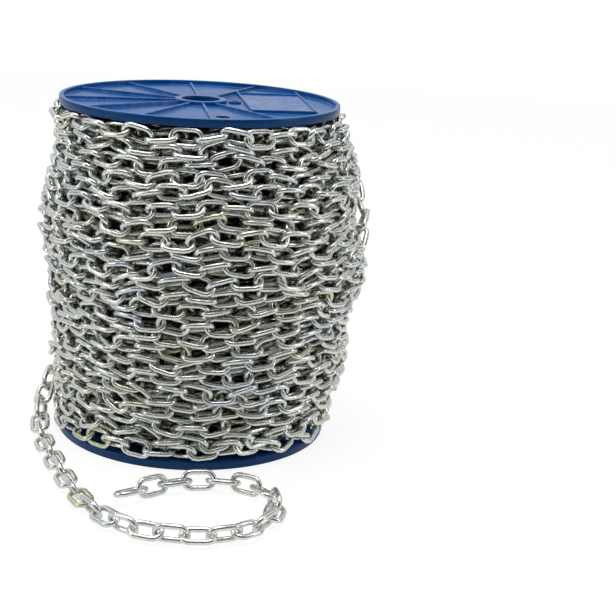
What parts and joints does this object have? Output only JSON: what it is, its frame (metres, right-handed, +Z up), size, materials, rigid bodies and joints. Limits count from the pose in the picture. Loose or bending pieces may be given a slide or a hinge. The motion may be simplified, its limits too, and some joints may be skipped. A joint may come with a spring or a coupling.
{
  "type": "reel of steel chain",
  "caption": "Moulded plastic reel standing on its flange, wound overfull with zinc-plated short-link steel chain whose loose end lies in a hook on the floor.",
  "frame": {"origin": "middle of the whole object's footprint, on the floor; the reel's axis stands 7 mm towards -X and 56 mm towards +Y from it", "axes": "+Z up along the reel's axis; -Y towards the loose end in front; +X to the right"},
  "size_m": [0.2718, 0.3802, 0.27],
  "materials": {
    "reel_plastic": "injection-moulded blue plastic, satin gloss",
    "chain_zinc": "bright zinc plating with faint green and yellow tints"
  },
  "bodies": {
    "root": {"bottom_flange": "reel_plastic", "top_flange": "reel_plastic", "reel_barrel": "reel_plastic", "chain_inner_turns": "chain_zinc", "chain_outer_turns": "chain_zinc", "tail_link_01": "chain_zinc", "tail_link_02": "chain_zinc", "tail_link_03": "chain_zinc", "tail_link_04": "chain_zinc", "tail_link_05": "chain_zinc", "tail_link_06": "chain_zinc", "tail_link_07": "chain_zinc", "tail_link_08": "chain_zinc", "tail_link_09": "chain_zinc", "tail_link_10": "chain_zinc", "tail_link_11": "chain_zinc", "tail_link_12": "chain_zinc", "tail_link_13": "chain_zinc", "tail_link_14": "chain_zinc", "tail_link_15": "chain_zinc", "tail_link_16": "chain_zinc", "tail_link_17": "chain_zinc", "tail_link_18": "chain_zinc", "tail_link_19": "chain_zinc", "tail_link_20": "chain_zinc", "tail_link_21": "chain_zinc", "tail_link_22": "chain_zinc", "tail_link_23": "chain_zinc", "tail_link_24": "chain_zinc", "tail_link_25": "chain_zinc", "tail_link_26": "chain_zinc", "tail_link_27": "chain_zinc", "tail_link_28": "chain_zinc", "tail_link_29": "chain_zinc", "tail_link_30": "chain_zinc"}
  },
  "joints": []
}
